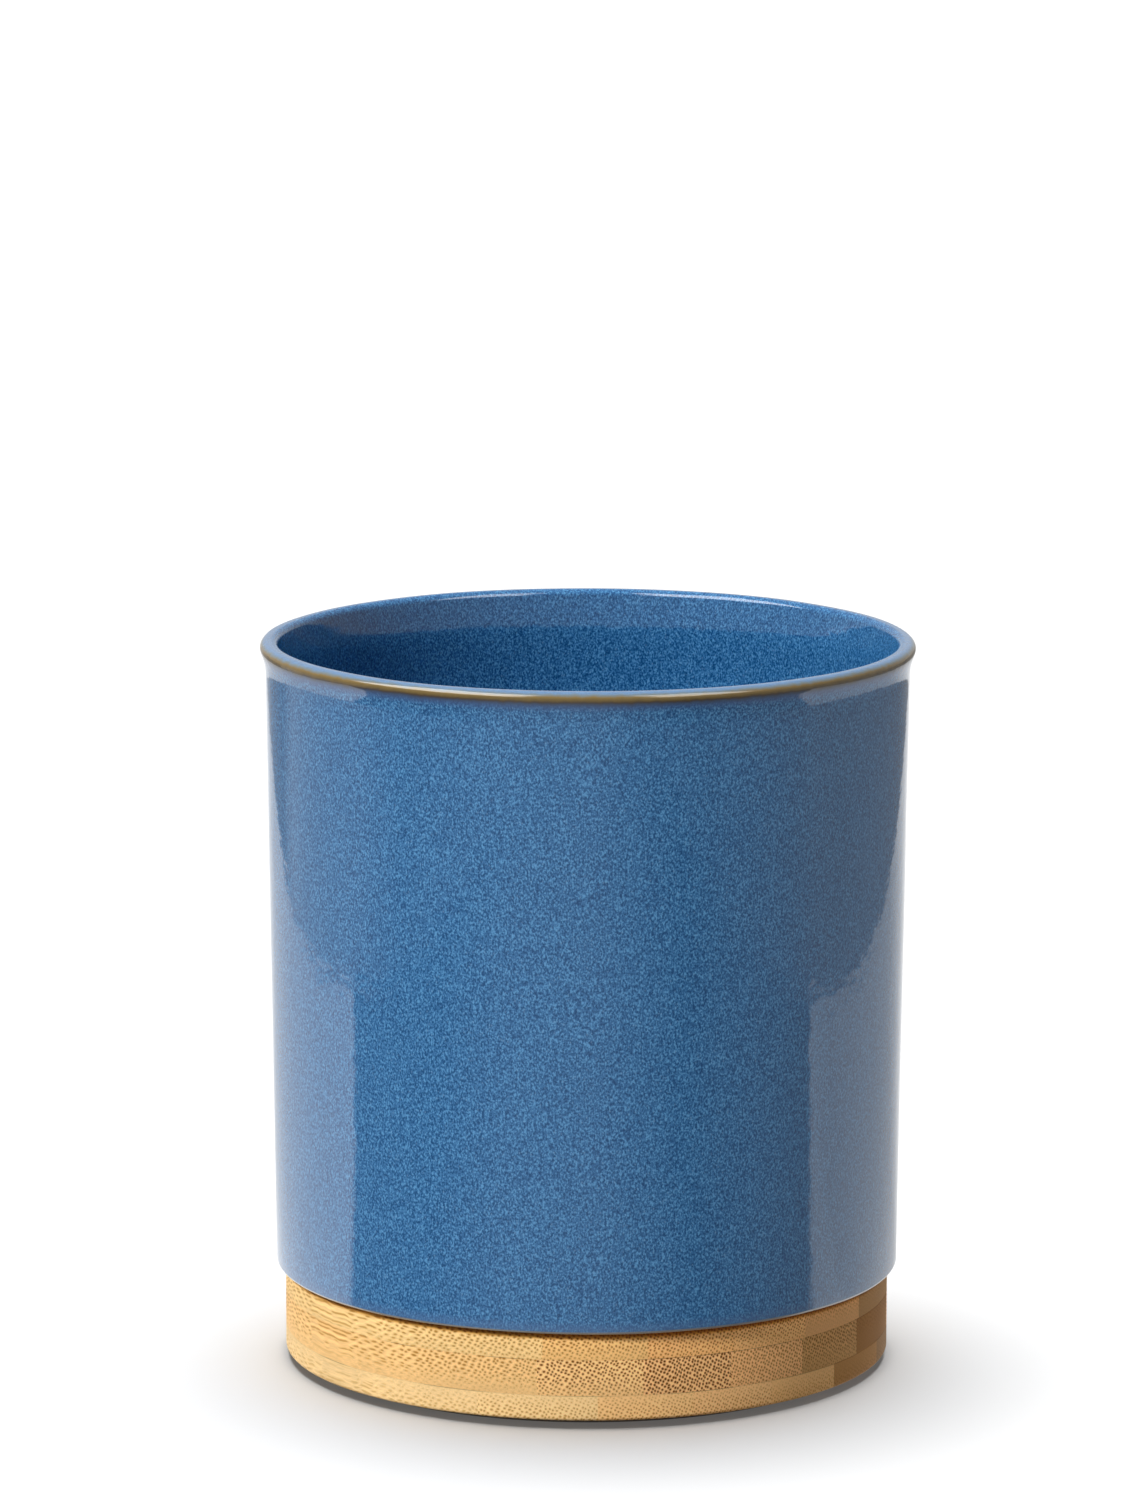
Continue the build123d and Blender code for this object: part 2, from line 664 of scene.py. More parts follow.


# What a bundle, or the painted shade along the top ply's edge, leaves of the colour of the strip,
# by how dark it is
BUNDLE_BROWNS = [
    (0.0, "ffffff"),
    (0.25, "e2d0aa"),
    (0.5, "c0a576"),
    (0.75, "a08054"),
    (1.0, "7d5b37"),
]

# Painted shade: the crock's shadow on the top ply's upper outer edge, under its overhang, drawn as
# a darker brown.
# It starts to show at the first depth below the top and the first radius, and shows in full at the
# second of each.
EDGE_SHADE_DEPTH = mm(1.9)
EDGE_SHADE_FULL_DEPTH = mm(0.5)
EDGE_SHADE_RADIUS = mm(74.9)
EDGE_SHADE_FULL_RADIUS = mm(75.7)
SANDING_DEPTH = mm(0.03)


def bamboo(name, low, high, skin_up, seed, edge_shade_strength=0.0):
    """Sanded and oiled bamboo: satin and honey coloured, dotted where its end shows.

    It is for a ply from low to high, its strips' skin side up or down. Painted shade, for the
    crock's shadow, darkens the ply's upper outer edge as far as the edge shade strength is more
    than 0.
    """
    material, tree = new_material(name)
    plain = add(tree, "ShaderNodeTexCoord").outputs["Object"]
    coords = add(
        tree, "ShaderNodeMapping", {"Vector": plain, "Rotation": (0, 0, -GRAIN_TURN)}
    ).outputs["Vector"]
    off_middle, _, height = add(tree, "ShaderNodeSeparateXYZ", {"Vector": coords}).outputs[:3]
    strip = add(tree, "ShaderNodeAttribute", attribute_name="strip_grain").outputs["Vector"]
    strip_grain = add(tree, "ShaderNodeSeparateXYZ", {"Vector": strip}).outputs[:3]
    strip_colour_and_shade = add(tree, "ShaderNodeAttribute", attribute_name="strip_colour").outputs["Vector"]
    skin, pith = (high, low) if skin_up else (low, high)
    depth = add(
        tree,
        "ShaderNodeMapRange",
        {"Value": height, "From Min": skin, "From Max": pith},
        clamp=False,
    ).outputs["Result"]
    along, across = wandering_fibres(tree, coords)
    bundle_dark, net_shade = vascular_bundles(tree, across, off_middle, depth, strip_grain)
    streaks, streaked = ground_tissue(tree, coords, along, across, seed)
    full_shade = add(tree, "ShaderNodeMath", {0: streaked, 1: net_shade}, operation="MULTIPLY")
    ground = add(
        tree,
        "ShaderNodeVectorMath",
        {0: strip_colour_and_shade, "Scale": full_shade.outputs["Value"]},
        operation="SCALE",
    )

    # The darker a bundle is, the browner it is, and so is the painted shade that stands for the
    # crock's shadow along the top ply's upper outer edge
    edge_shade = add(
        tree,
        "ShaderNodeMapRange",
        {
            "Value": height,
            "From Min": high - EDGE_SHADE_DEPTH,
            "From Max": high - EDGE_SHADE_FULL_DEPTH,
            "To Max": edge_shade_strength,
        },
        interpolation_type="SMOOTHSTEP",
    )
    rim = add(
        tree,
        "ShaderNodeMapRange",
        {
            "Value": radius_at(tree, coords),
            "From Min": EDGE_SHADE_RADIUS,
            "From Max": EDGE_SHADE_FULL_RADIUS,
        },
    )
    bundles_and_edge_shade = add(
        tree,
        "ShaderNodeMath",
        {0: edge_shade.outputs["Result"], 1: rim.outputs["Result"], 2: bundle_dark},
        operation="MULTIPLY_ADD",
    )
    brown = add(tree, "ShaderNodeValToRGB", {"Fac": bundles_and_edge_shade.outputs["Value"]})
    set_stops(brown, [(share, linear(colour)) for share, colour in BUNDLE_BROWNS])
    dotted = add(
        tree,
        "ShaderNodeMix",
        {FACTOR: 1.0, COLOUR_A: ground.outputs["Vector"], COLOUR_B: brown.outputs["Color"]},
        data_type="RGBA",
        blend_type="MULTIPLY",
    )
    glued = add(
        tree,
        "ShaderNodeMix",
        {
            FACTOR: glue_line(tree, coords, height, high, seed),
            COLOUR_A: dotted.outputs[MIXED],
            COLOUR_B: linear(GLUE_BROWN),
        },
        data_type="RGBA",
    )

    # Sanding leaves the bundles a trace lower than the ground tissue
    relief = add(tree, "ShaderNodeMath", {0: streaks, 1: bundle_dark}, operation="SUBTRACT")
    sanded = add(
        tree,
        "ShaderNodeBump",
        {"Height": relief.outputs["Value"], "Distance": SANDING_DEPTH, "Strength": 0.5},
    )
    gloss = add(tree, "ShaderNodeMapRange", {"Value": streaks, "To Min": 0.55, "To Max": 0.7})
    surface = add(
        tree,
        "ShaderNodeBsdfPrincipled",
        {
            "Base Color": glued.outputs[MIXED],
            "Roughness": gloss.outputs["Result"],
            "Specular IOR Level": 0.1,
            "IOR": 1.47,
            "Normal": sanded.outputs["Normal"],
        },
    )
    add(tree, "ShaderNodeOutputMaterial", {"Surface": surface.outputs["BSDF"]})
    return material


NARROWEST_STRIP = mm(8)
OUTSIDE_THE_DISC = 1.0
CUT_TOLERANCE = mm(0.001)


def cut_off(strip, point, outwards):
    """Cuts away what lies outwards of a point, and closes the cut with a flat face."""
    found = bmesh.ops.bisect_plane(
        strip,
        geom=strip.verts[:] + strip.edges[:] + strip.faces[:],
        dist=CUT_TOLERANCE,
        plane_co=point,
        plane_no=outwards,
        clear_outer=True,
    )
    rim = [edge for edge in found["geom_cut"] if isinstance(edge, bmesh.types.BMEdge)]
    for face in bmesh.ops.contextual_create(strip, geom=rim)["faces"]:
        face.smooth = False
        for edge in face.edges:
            edge.smooth = False


def cut_into_strips(mesh, one_joint, strips):
    """Cuts a turned ply at its glue joints into closed strips, each with its grain.

    One joint is one_joint mm from the middle, and the others a strip's width apart.
    """
    whole = bmesh.new()
    whole.from_mesh(mesh)
    outline = max(math.hypot(vertex.co.x, vertex.co.y) for vertex in whole.verts)
    across = Vector((math.cos(GRAIN_TURN), math.sin(GRAIN_TURN), 0))
    joints_before = (one_joint + in_mm(outline)) // STRIP_WIDTH
    first_joint = one_joint - STRIP_WIDTH * joints_before
    joints = [mm(first_joint + STRIP_WIDTH * n) for n in range(len(strips) + 1)]
    joints = [joint for joint in joints if abs(joint) < outline - NARROWEST_STRIP]
    edges = [-OUTSIDE_THE_DISC, *joints, OUTSIDE_THE_DISC]
    ply = bmesh.new()
    grain = ply.verts.layers.float_vector.new("strip_grain")
    strip_colour_and_shade = ply.verts.layers.float_vector.new("strip_colour")
    for left, right, (spacing, darkness, reach, colour) in zip(edges[:-1], edges[1:], strips):
        strip = whole.copy()
        for joint, outwards in ((left, -1), (right, 1)):
            if abs(joint) < outline:
                cut_off(strip, across * joint, across * outwards)
        bmesh.ops.recalc_face_normals(strip, faces=strip.faces)
        copied = {}
        for vertex in strip.verts:
            new = ply.verts.new(vertex.co)
            new[grain] = (spacing, darkness, reach)
            new[strip_colour_and_shade] = linear(colour)[:3]
            copied[vertex] = new
        for face in strip.faces:
            new = ply.faces.new([copied[vertex] for vertex in face.verts])
            new.smooth = face.smooth
            for old_edge, new_edge in zip(face.edges, new.edges):
                new_edge.smooth = old_edge.smooth
        strip.free()
    whole.free()
    ply.to_mesh(mesh)
    ply.free()


def place_ply(node, section, material, one_joint, strips):
    """Turns a ply, cuts it into its strips and shows it in place of its CAD node."""
    name = node + "_bamboo"
    mesh = turn(name, section, material, BASE_STEP)
    cut_into_strips(mesh, one_joint, strips)
    place(name, mesh, "base", node)


LOWER_EDGE_ROUND = 0.9
SEAM_ROUND = 0.08
BOTTOM_JOINT = 5
BOTTOM_SEED = 2.0
bottom_low, bottom_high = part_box("base_bottom_ply")
base_radius = in_mm(bottom_high.x)
bottom_section = [
    (0, in_mm(bottom_high.z), 0),
    (base_radius, in_mm(bottom_high.z), SEAM_ROUND),
    (base_radius, in_mm(bottom_low.z), LOWER_EDGE_ROUND),
    (0, in_mm(bottom_low.z), 0),
]
bottom_bamboo = bamboo(
    "Oiled bamboo, bottom ply", bottom_low.z, bottom_high.z, skin_up=False, seed=BOTTOM_SEED
)
place_ply("base_bottom_ply", bottom_section, bottom_bamboo, BOTTOM_JOINT, BOTTOM_STRIPS)


# Core ply of the base
# The thickest layer, of the same strips with their skin side up. One strip of it is
# of much denser bamboo, and its butt joint shows on the front of the base.
# The sixth strip's colour is darker than the wood, as painted shade on the base's right side
CORE_STRIPS = [
    (0.88, 0.50, 0.72, "f3c686"),
    (0.86, 1.00, 0.95, "f1c385"),
    (0.86, 1.45, 1.90, "dfae76"),
    (0.84, 0.65, 1.50, "f1bb7f"),
    (0.84, 0.70, 0.90, "d0a066"),
    (0.84, 0.20, 0.50, "a67339"),
    (0.85, 0.60, 1.00, "ebb675"),
]
CORE_JOINT = 15
CORE_SEED = 5.0
core_low, core_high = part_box("base_core_ply")
core_section = [
    (0, in_mm(core_high.z), 0),
    (base_radius, in_mm(core_high.z), SEAM_ROUND),
    (base_radius, in_mm(core_low.z), SEAM_ROUND),
    (0, in_mm(core_low.z), 0),
]
core_bamboo = bamboo(
    "Oiled bamboo, core ply", core_low.z, core_high.z, skin_up=True, seed=CORE_SEED
)
place_ply("base_core_ply", core_section, core_bamboo, CORE_JOINT, CORE_STRIPS)


# Top ply of the base
# The layer that carries the crock, with the recess that was turned into it for the
# foot ring. Its outer edge is lightly rounded.
# The sixth strip's colour is darker than the wood, as painted shade on the base's right side
TOP_STRIPS = [
    (0.88, 0.48, 1.05, "f5ce8e"),
    (0.86, 0.65, 0.90, "efbf7c"),
    (0.86, 0.72, 1.20, "f6bd7a"),
    (0.84, 0.65, 1.00, "f9c17f"),
    (0.84, 0.35, 0.60, "eeb477"),
    (0.84, 0.20, 0.50, "bc8d57"),
    (0.85, 0.50, 1.00, "eabb7a"),
]
TOP_JOINT = 16
TOP_SEED = 9.0
# How dark the painted shade is on the top ply's upper outer edge, where the crock shades it
TOP_EDGE_SHADE = 0.8
RECESS_RADIUS = 72.5
RECESS_DEPTH = 2.0
TOP_EDGE_ROUND = 1.1
RECESS_EDGE_ROUND = 0.3
top_low, top_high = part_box("base_top_ply")
seat_height = in_mm(top_high.z) - RECESS_DEPTH
top_section = [
    (0, seat_height, 0),
    (RECESS_RADIUS, seat_height, RECESS_EDGE_ROUND),
    (RECESS_RADIUS, in_mm(top_high.z), RECESS_EDGE_ROUND),
    (base_radius, in_mm(top_high.z), TOP_EDGE_ROUND),
    (base_radius, in_mm(top_low.z), SEAM_ROUND),
    (0, in_mm(top_low.z), 0),
]
top_bamboo = bamboo(
    "Oiled bamboo, top ply", top_low.z, top_high.z, skin_up=True, seed=TOP_SEED, edge_shade_strength=TOP_EDGE_SHADE
)
place_ply("base_top_ply", top_section, top_bamboo, TOP_JOINT, TOP_STRIPS)


# Crock
# Thrown stoneware with a blue reactive glaze fired on, inside and out, but for the
# foot ring and the underside. The glaze runs thin at the sharp edge of the lip and
# breaks to ochre there, and it is full of fine pale crystals.
glaze, tree = new_material("Blue reactive glaze on stoneware")
coords = add(tree, "ShaderNodeTexCoord").outputs["Object"]
height = add(tree, "ShaderNodeSeparateXYZ", {"Vector": coords}).outputs["Z"]

# Crystals and flecks in the glaze are 0.2 to 0.3 mm across. That is too fine to show
# in the render, so both patterns are drawn nearly twice as coarse. The glaze ran down
# as it melted, which drew them out a little.
CRYSTAL_GRAIN = mm(0.43)
FLECK_SPACING = mm(0.56)
DRAWN_OUT = (1, 1, 0.7)
CRYSTAL_BLUES = [(0.36, "0a4272"), (0.51, "2d6698"), (0.66, "5593c2")]
FLECK_BLUE = "7aaacd"
run_down = add(tree, "ShaderNodeMapping", {"Vector": coords, "Scale": DRAWN_OUT})
crystals = add(
    tree,
    "ShaderNodeTexNoise",
    {
        "Vector": run_down.outputs["Vector"],
        "Scale": 1 / CRYSTAL_GRAIN,
        "Detail": 2.0,
        "Roughness": 0.6,
    },
)
blue = add(tree, "ShaderNodeValToRGB", {"Fac": crystals.outputs["Fac"]})
set_stops(blue, [(share, linear(colour)) for share, colour in CRYSTAL_BLUES])
flecks = add(
    tree,
    "ShaderNodeTexVoronoi",
    {"Vector": run_down.outputs["Vector"], "Scale": 1 / FLECK_SPACING},
)
fleck_kind = add(tree, "ShaderNodeSeparateXYZ", {"Vector": flecks.outputs["Color"]})
fleck_size = add(
    tree,
    "ShaderNodeMapRange",
    {"Value": fleck_kind.outputs["X"], "From Min": 0.6, "From Max": 1.0, "To Max": 0.5},
)
fleck = add(
    tree,
    "ShaderNodeMapRange",
    {
        "Value": flecks.outputs["Distance"],
        "From Max": fleck_size.outputs["Result"],
        "To Min": 0.55,
        "To Max": 0.0,
    },
)
flecked = add(
    tree,
    "ShaderNodeMix",
    {
        FACTOR: fleck.outputs["Result"],
        COLOUR_A: blue.outputs["Color"],
        COLOUR_B: linear(FLECK_BLUE),
    },
    data_type="RGBA",
)

# Along the foot the glaze is a little greyer, with an uneven upper edge
EDGE_WAVE = mm(2.4)
EDGE_RISE = mm(0.7)
GREY_FROM = mm(28)
GREY_FULL = mm(26)
FOOT_GREY_BLUE = "4b6c97"
edge_noise = add(
    tree, "ShaderNodeTexNoise", {"Vector": coords, "Scale": 1 / EDGE_WAVE, "Detail": 2.0}
)
uneven_height = add(
    tree,
    "ShaderNodeMath",
    {0: edge_noise.outputs["Fac"], 1: EDGE_RISE, 2: height},
    operation="MULTIPLY_ADD",
)
near_foot = add(
    tree,
    "ShaderNodeMapRange",
    {
        "Value": uneven_height.outputs["Value"],
        "From Min": GREY_FROM,
        "From Max": GREY_FULL,
        "To Max": 0.5,
    },
)
footed = add(
    tree,
    "ShaderNodeMix",
    {
        FACTOR: near_foot.outputs["Result"],
        COLOUR_A: flecked.outputs[MIXED],
        COLOUR_B: linear(FOOT_GREY_BLUE),
    },
    data_type="RGBA",
)

# Breaking over the lip, from below: slate blue, a dark brown fringe, ochre, and a
# thin grey blue along the crest. Each row is a height, a colour and how much it covers.
# Inside the wall the glaze stays blue right up to the lip.
LIP_BREAK_LOW = 177.0
LIP_BREAK_HIGH = 184.0
LIP_ROWS = [
    (178.3, "3a5a8c", 0.0),
    (179.8, "38507a", 0.8),
    (180.5, "384458", 1.0),
    (180.85, "40362c", 1.0),
    (181.3, "624f24", 1.0),
    (182.1, "7c6638", 1.0),
    (182.6, "6b7678", 1.0),
    (183.1, "6583a6", 0.8),
]
BLUE_INSIDE = mm(78.6)
BROKEN_OUTSIDE = mm(79.2)
up_the_lip = add(
    tree,
    "ShaderNodeMapRange",
    {
        "Value": uneven_height.outputs["Value"],
        "From Min": mm(LIP_BREAK_LOW),
        "From Max": mm(LIP_BREAK_HIGH),
    },
)
lip_colours = add(tree, "ShaderNodeValToRGB", {"Fac": up_the_lip.outputs["Result"]})
lip_stops = [
    ((level - LIP_BREAK_LOW) / (LIP_BREAK_HIGH - LIP_BREAK_LOW), linear(colour)[:3] + [cover])
    for level, colour, cover in LIP_ROWS
]
set_stops(lip_colours, lip_stops)
outside = add(
    tree,
    "ShaderNodeMapRange",
    {"Value": radius_at(tree, coords), "From Min": BLUE_INSIDE, "From Max": BROKEN_OUTSIDE},
)
lip_cover = add(
    tree,
    "ShaderNodeMath",
    {0: lip_colours.outputs["Alpha"], 1: outside.outputs["Result"]},
    operation="MULTIPLY",
)
broken = add(
    tree,
    "ShaderNodeMix",
    {
        FACTOR: lip_cover.outputs["Value"],
        COLOUR_A: footed.outputs[MIXED],
        COLOUR_B: lip_colours.outputs["Color"],
    },
    data_type="RGBA",
)

# The glaze stops in a thin buff line at the wall's lower edge. The foot ring and the
# underside are bare clay, wiped clean before firing: matt and sandy.
LINE_TOP = mm(24.95)
LINE_FULL = mm(24.75)
GLAZE_ENDS = mm(24.3)
BARE_BELOW = mm(24.2)
LINE_BUFF = "8b867c"
CLAY_DARK = "b9a78c"
CLAY_LIGHT = "d9cbb2"
CLAY_GRAIN = mm(0.5)
line_share = add(
    tree,
    "ShaderNodeMapRange",
    {"Value": height, "From Min": LINE_TOP, "From Max": LINE_FULL, "To Max": 0.85},
)
lined = add(
    tree,
    "ShaderNodeMix",
    {
        FACTOR: line_share.outputs["Result"],
        COLOUR_A: broken.outputs[MIXED],
        COLOUR_B: linear(LINE_BUFF),
    },
    data_type="RGBA",
)
clay_grain = add(
    tree,
    "ShaderNodeTexNoise",
    {"Vector": coords, "Scale": 1 / CLAY_GRAIN, "Detail": 4.0, "Roughness": 0.7},
)
clay = add(
    tree,
    "ShaderNodeMix",
    {
        FACTOR: clay_grain.outputs["Fac"],
        COLOUR_A: linear(CLAY_DARK),
        COLOUR_B: linear(CLAY_LIGHT),
    },
    data_type="RGBA",
)
bare = add(
    tree, "ShaderNodeMapRange", {"Value": height, "From Min": GLAZE_ENDS, "From Max": BARE_BELOW}
)
covered = add(
    tree,
    "ShaderNodeMix",
    {
        FACTOR: bare.outputs["Result"],
        COLOUR_A: lined.outputs[MIXED],
        COLOUR_B: clay.outputs[MIXED],
    },
    data_type="RGBA",
)
GLAZE_ROUGHNESS = 0.06
CLAY_ROUGHNESS = 0.8
roughness = add(
    tree,
    "ShaderNodeMapRange",
    {"Value": bare.outputs["Result"], "To Min": GLAZE_ROUGHNESS, "To Max": CLAY_ROUGHNESS},
)

# Fired glaze is glassy, and its surface undulates a little like orange peel
PEEL_WAVE = mm(5)
PEEL_DEPTH = mm(0.07)
CLAY_DEPTH = mm(0.05)
peel = add(
    tree, "ShaderNodeTexNoise", {"Vector": coords, "Scale": 1 / PEEL_WAVE, "Detail": 2.0}
)
peeled = add(
    tree,
    "ShaderNodeBump",
    {"Height": peel.outputs["Fac"], "Distance": PEEL_DEPTH, "Strength": 1.0},
)
grained = add(
    tree,
    "ShaderNodeBump",
    {
        "Height": clay_grain.outputs["Fac"],
        "Distance": CLAY_DEPTH,
        "Strength": bare.outputs["Result"],
        "Normal": peeled.outputs["Normal"],
    },
)
surface = add(
    tree,
    "ShaderNodeBsdfPrincipled",
    {
        "Base Color": covered.outputs[MIXED],
        "Roughness": roughness.outputs["Result"],
        "IOR": 1.52,
        "Normal": grained.outputs["Normal"],
    },
)
add(tree, "ShaderNodeOutputMaterial", {"Surface": surface.outputs["BSDF"]})

# The section runs up the inside, over the lip, down the outside and round the foot
# ring. Each row is a corner: its radius, its height and its rounding in mm.
CROCK_SECTION = [
    (0, 29.8, 0),  # middle of the floor
    (73.0, 29.8, 10.0),  # cove
    (75.75, 173.0, 40.0),  # head of the inner wall
    (77.5, 182.9, 1.9),  # inner edge of the lip
    (82.1, 182.9, 2.0),  # outer edge of the lip
    (81.7, 180.2, 5.0),  # under the lip
    (80.42, 176.6, 14.0),  # start of the flare
    (78.3, 24.15, 1.0),  # lower edge of the wall
    (71.5, 24.15, 0.5),  # root of the foot ring, outside
    (71.5, 22.0, 0.7),  # foot ring's outer edge
    (65.5, 22.0, 0.7),  # foot ring's inner edge
    (65.5, 23.8, 0.8),  # root of the foot ring, inside
    (0, 23.8, 0),  # middle of the underside
]
CROCK_STEP = mm(2.4)
THROWN_WAVE_HEIGHT = mm(0.12)
THROWN_WAVE_LENGTH = mm(45)
crock_mesh = turn(
    "crock_body_glazed", CROCK_SECTION, glaze, CROCK_STEP, THROWN_WAVE_HEIGHT, THROWN_WAVE_LENGTH
)
place("crock_body_glazed", crock_mesh, "crock", "crock_body")


# Studio
# A pale floor that runs far out of view, a pale surrounding, one large soft lamp at
# the left, a soft lamp overhead, and a third lamp that lights the floor alone.
FLOOR_HALF = 8.0
SQUARE = [(-1, -1), (1, -1), (1, 1), (-1, 1)]
floor_mesh = bpy.data.meshes.new("studio_floor")
floor_mesh.from_pydata([(x * FLOOR_HALF, y * FLOOR_HALF, 0) for x, y in SQUARE], [], [(0, 1, 2, 3)])
floor = bpy.data.objects.new("studio_floor", floor_mesh)
bpy.context.scene.collection.objects.link(floor)

# Matt paper. The camera sees it pale, it throws little light back at the crock, and
# the glaze mirrors it as a lit studio.
WHITE = linear("ffffff")
SEEN_GREY = linear("bcbcbc")
SEEN_GLOW = 0.09
BOUNCED_GREY = linear("959595")
paper, tree = new_material("Pale studio paper")
coords = add(tree, "ShaderNodeTexCoord").outputs["Object"]
where = add(tree, "ShaderNodeSeparateXYZ", {"Vector": coords})
ray = add(tree, "ShaderNodeLightPath")
seen_paper = add(tree, "ShaderNodeBsdfDiffuse", {"Color": SEEN_GREY})
seen_glow = add(tree, "ShaderNodeEmission", {"Color": WHITE, "Strength": SEEN_GLOW})
seen = add(
    tree, "ShaderNodeAddShader", {0: seen_paper.outputs["BSDF"], 1: seen_glow.outputs["Emission"]}
)
bounced = add(tree, "ShaderNodeBsdfDiffuse", {"Color": BOUNCED_GREY})

# What the glaze mirrors: an oval of lit floor beside and behind the crock, the dim
# floor in front, and the floor beyond. Each row is a direction in degrees and a level,
# where 0 is the front, 90 the right and -90 the left.
LIT_LEVELS = [
    (-180, 1.2), (-150, 0.97), (-128, 1.24), (-104, 1.7), (-84, 2.2), (80, 1.75),
    (88, 1.42), (102, 1.28), (120, 1.0), (133, 0.85), (150, 1.0), (180, 1.2),
]
FRONT_LEVELS = [
    (-90, 0.38), (-50, 0.4), (-26, 0.74), (2, 0.74), (16, 0.5), (32, 0.27), (58, 0.5), (90, 0.58),
]
BEYOND_LEVELS = [
    (-180, 1.0), (-150, 0.4), (-136, 0.35), (-126, 0.85), (-86, 0.93),
    (-66, 0.52), (-20, 0.85), (10, 0.66), (38, 0.4), (86, 0.76),
    (108, 0.6), (128, 0.41), (143, 0.31), (160, 0.35), (180, 1.0),
]
BRIGHTEST = 2.5


def share_round(tree, parts):
    """How far round a direction is: 0 at the back, by the left and the front, to 1."""
    towards_front = add(
        tree, "ShaderNodeMath", {0: parts.outputs["Y"], 1: -1.0}, operation="MULTIPLY"
    )
    direction = add(
        tree,
        "ShaderNodeMath",
        {0: parts.outputs["X"], 1: towards_front.outputs["Value"]},
        operation="ARCTAN2",
    )
    share = add(
        tree,
        "ShaderNodeMapRange",
        {"Value": direction.outputs["Value"], "From Min": -math.pi, "From Max": math.pi},
    )
    return share.outputs["Result"]


def stops_round(rows, brightest):
    """Grey stops for a ramp that share_round drives, as shares of the brightest level."""
    return [
        ((degrees + 180) / 360, (level / brightest,) * 3 + (1,)) for degrees, level in rows
    ]


floor_share = share_round(tree, where)
mirrored_levels = []
for rows in (LIT_LEVELS, FRONT_LEVELS, BEYOND_LEVELS):
    by_direction = add(tree, "ShaderNodeValToRGB", {"Fac": floor_share})
    set_stops(by_direction, stops_round(rows, BRIGHTEST))
    mirrored_levels.append(by_direction.outputs["Color"])
lit, in_front, beyond = mirrored_levels

# The oval of lit floor, and the line across it where the dim floor in front starts
OVAL_HALF_WIDTH = mm(500)
OVAL_HALF_LENGTH = mm(1250)
LINE_SLOPE = 0.04
DIM_BEFORE = -mm(50)
LIT_BEHIND = -mm(42)
oval_x = add(
    tree, "ShaderNodeMath", {0: where.outputs["X"], 1: OVAL_HALF_WIDTH}, operation="DIVIDE"
)
oval_y = add(
    tree, "ShaderNodeMath", {0: where.outputs["Y"], 1: OVAL_HALF_LENGTH}, operation="DIVIDE"
)
oval_point = add(
    tree,
    "ShaderNodeCombineXYZ",
    {"X": oval_x.outputs["Value"], "Y": oval_y.outputs["Value"]},
)
oval = add(
    tree, "ShaderNodeVectorMath", {0: oval_point.outputs["Vector"]}, operation="LENGTH"
)
in_oval = add(
    tree,
    "ShaderNodeMapRange",
    {"Value": oval.outputs["Value"], "From Min": 1.01, "From Max": 0.99},
)
from_line = add(
    tree,
    "ShaderNodeMath",
    {0: where.outputs["X"], 1: LINE_SLOPE, 2: where.outputs["Y"]},
    operation="MULTIPLY_ADD",
)
beside = add(
    tree,
    "ShaderNodeMapRange",
    {"Value": from_line.outputs["Value"], "From Min": DIM_BEFORE, "From Max": LIT_BEHIND},
)
near_level = add(
    tree,
    "ShaderNodeMix",
    {FACTOR: beside.outputs["Result"], COLOUR_A: in_front, COLOUR_B: lit},
    data_type="RGBA",
)
level = add(
    tree,
    "ShaderNodeMix",
    {FACTOR: in_oval.outputs["Result"], COLOUR_A: beyond, COLOUR_B: near_level.outputs[MIXED]},
    data_type="RGBA",
)
mirrored = add(
    tree, "ShaderNodeEmission", {"Color": level.outputs[MIXED], "Strength": BRIGHTEST}
)
to_camera = add(
    tree,
    "ShaderNodeMixShader",
    {0: ray.outputs["Is Camera Ray"], 1: bounced.outputs["BSDF"], 2: seen.outputs["Shader"]},
)
to_glaze = add(
    tree,
    "ShaderNodeMixShader",
    {
        0: ray.outputs["Is Glossy Ray"],
        1: to_camera.outputs["Shader"],
        2: mirrored.outputs["Emission"],
    },
)
add(tree, "ShaderNodeOutputMaterial", {"Surface": to_glaze.outputs["Shader"]})
floor_mesh.materials.append(paper)

# The camera sees white around the floor, and only a little light comes from there
SURROUND_LEVEL = 0.1
world = bpy.data.worlds.new("Studio")
world.use_nodes = True
bpy.context.scene.world = world
tree = world.node_tree
tree.nodes.clear()
ray = add(tree, "ShaderNodeLightPath")
surround = add(tree, "ShaderNodeBackground", {"Color": WHITE, "Strength": SURROUND_LEVEL})
white = add(tree, "ShaderNodeBackground", {"Color": WHITE, "Strength": 1.0})

# In the glaze two broad soft boxes show, above the front at the left and at the right.
# Foot and head are where a box starts to show and where it shows in full, as heights
# on a sphere of radius 1.
BOX_LEVELS = [
    (-100, 0), (-94, 0.9), (-32, 0.95), (-22, 0), (22, 0), (30, 0.65), (60, 0.65), (68, 0),
]
BOX_FOOT = (0.45, 0.5)
BOX_HEAD = (0.92, 0.88)
ROOM_LEVEL = 0.6
BOX_LEVEL = 10.0
sky = add(tree, "ShaderNodeTexCoord").outputs["Generated"]
sky_parts = add(tree, "ShaderNodeSeparateXYZ", {"Vector": sky})
soft_boxes = add(tree, "ShaderNodeValToRGB", {"Fac": share_round(tree, sky_parts)})
set_stops(soft_boxes, stops_round(BOX_LEVELS, 1.0))
above_foot, below_head = (
    add(
        tree,
        "ShaderNodeMapRange",
        {"Value": sky_parts.outputs["Z"], "From Min": outer, "From Max": inner},
    )
    for outer, inner in (BOX_FOOT, BOX_HEAD)
)
in_box = add(
    tree,
    "ShaderNodeMath",
    {0: above_foot.outputs["Result"], 1: below_head.outputs["Result"]},
    operation="MULTIPLY",
)
box_share = add(
    tree,
    "ShaderNodeMath",
    {0: soft_boxes.outputs["Color"], 1: in_box.outputs["Value"]},
    operation="MULTIPLY",
)
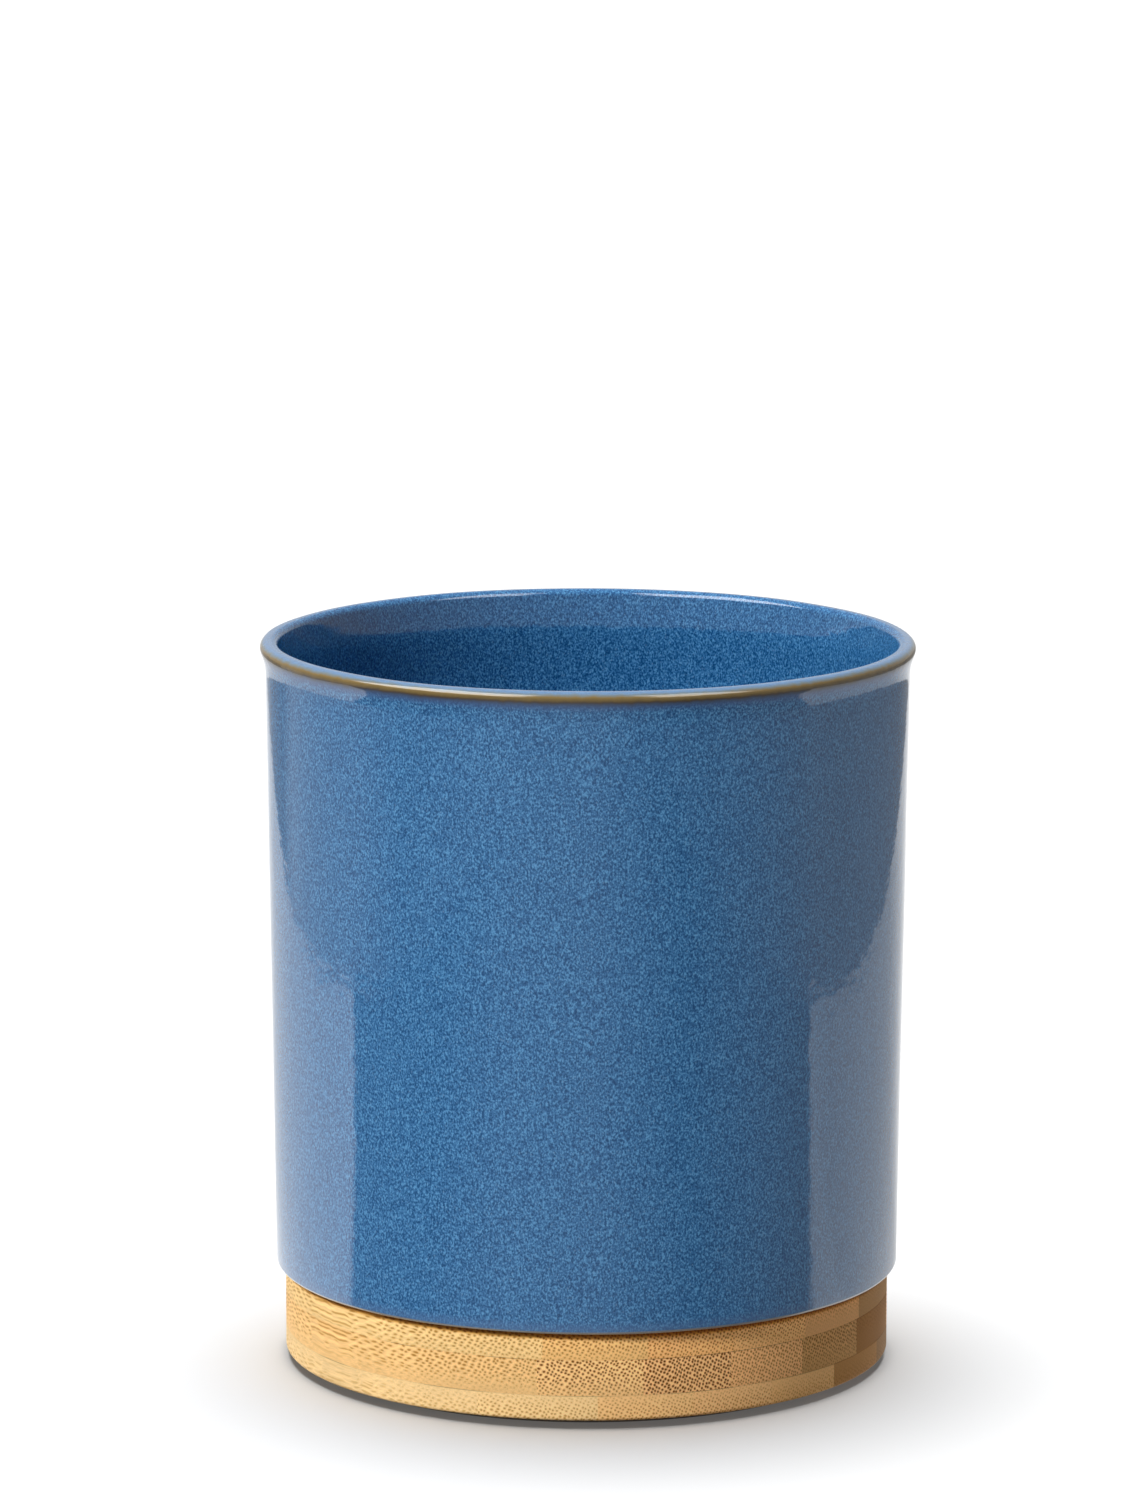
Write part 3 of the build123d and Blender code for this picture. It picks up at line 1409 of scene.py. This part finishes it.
room_level = add(
    tree,
    "ShaderNodeMapRange",
    {"Value": box_share.outputs["Value"], "To Min": ROOM_LEVEL, "To Max": BOX_LEVEL},
)
mirrored_room = add(
    tree, "ShaderNodeBackground", {"Color": WHITE, "Strength": room_level.outputs["Result"]}
)
unless_mirrored = add(
    tree,
    "ShaderNodeMixShader",
    {
        0: ray.outputs["Is Glossy Ray"],
        1: surround.outputs["Background"],
        2: mirrored_room.outputs["Background"],
    },
)
unless_seen = add(
    tree,
    "ShaderNodeMixShader",
    {
        0: ray.outputs["Is Camera Ray"],
        1: unless_mirrored.outputs["Shader"],
        2: white.outputs["Background"],
    },
)
add(tree, "ShaderNodeOutputWorld", {"Surface": unless_seen.outputs["Shader"]})


def soft_sun(name, azimuth, elevation, width, strength):
    """A soft distant lamp. Azimuth 0 is in front of the crock and 90 at its right."""
    lamp = bpy.data.lights.new(name, "SUN")
    lamp.energy = strength
    lamp.angle = math.radians(width)
    sun = bpy.data.objects.new(name, lamp)
    turn_to = Matrix.Rotation(math.radians(azimuth), 4, "Z")
    sun.matrix_world = turn_to @ Matrix.Rotation(math.radians(90 - elevation), 4, "X")
    sun.visible_glossy = False
    bpy.context.scene.collection.objects.link(sun)
    return sun


# The lamps on the crock are flagged off the floor. A lamp overhead lights the floor
# alone, with the crock in its way, so the crock's shadow lies on the floor.
key = soft_sun("key_from_left", azimuth=-44, elevation=38, width=12, strength=2.8)
top_lamp = soft_sun("overhead", azimuth=-160, elevation=83, width=40, strength=2.9)
floor_lamp = soft_sun(
    "overhead_on_the_floor", azimuth=-165, elevation=83, width=40, strength=6.5
)
flagged = bpy.data.collections.new("flagged_off_the_crock_lamps")
flagged.objects.link(floor)
flagged.collection_objects[0].light_linking.link_state = "EXCLUDE"
for lamp in (key, top_lamp):
    lamp.light_linking.receiver_collection = flagged
floor_only = bpy.data.collections.new("floor_under_its_own_lamp")
floor_only.objects.link(floor)
floor_lamp.light_linking.receiver_collection = floor_only

# Camera
# It looks down at the crock from the front, at the photograph's angle and framing.
FOCAL_PIXELS = 7204.06
FRAME_PIXELS = 1500
OFF_MIDDLE_PIXELS = 25.12
SENSOR = 36.0
CLIP_END = 50
CAMERA_BACK = mm(1774.0)
CAMERA_UP = mm(473.1)
LOOKS_DOWN = math.radians(10.183)
TURNED_LEFT = math.atan(OFF_MIDDLE_PIXELS / FOCAL_PIXELS)
ROLLED = math.radians(0.105)
camera_data = bpy.data.cameras.new("camera")
camera_data.sensor_width = SENSOR
camera_data.lens = FOCAL_PIXELS * SENSOR / FRAME_PIXELS
camera_data.clip_end = CLIP_END
camera = bpy.data.objects.new("camera", camera_data)
bpy.context.scene.collection.objects.link(camera)
camera.matrix_world = (
    Matrix.Translation((0, -CAMERA_BACK, CAMERA_UP))
    @ Matrix.Rotation(TURNED_LEFT, 4, "Z")
    @ Matrix.Rotation(math.pi / 2 - LOOKS_DOWN, 4, "X")
    @ Matrix.Rotation(ROLLED, 4, "Z")
)
bpy.context.scene.camera = camera
bpy.context.scene.view_settings.view_transform = "Standard"
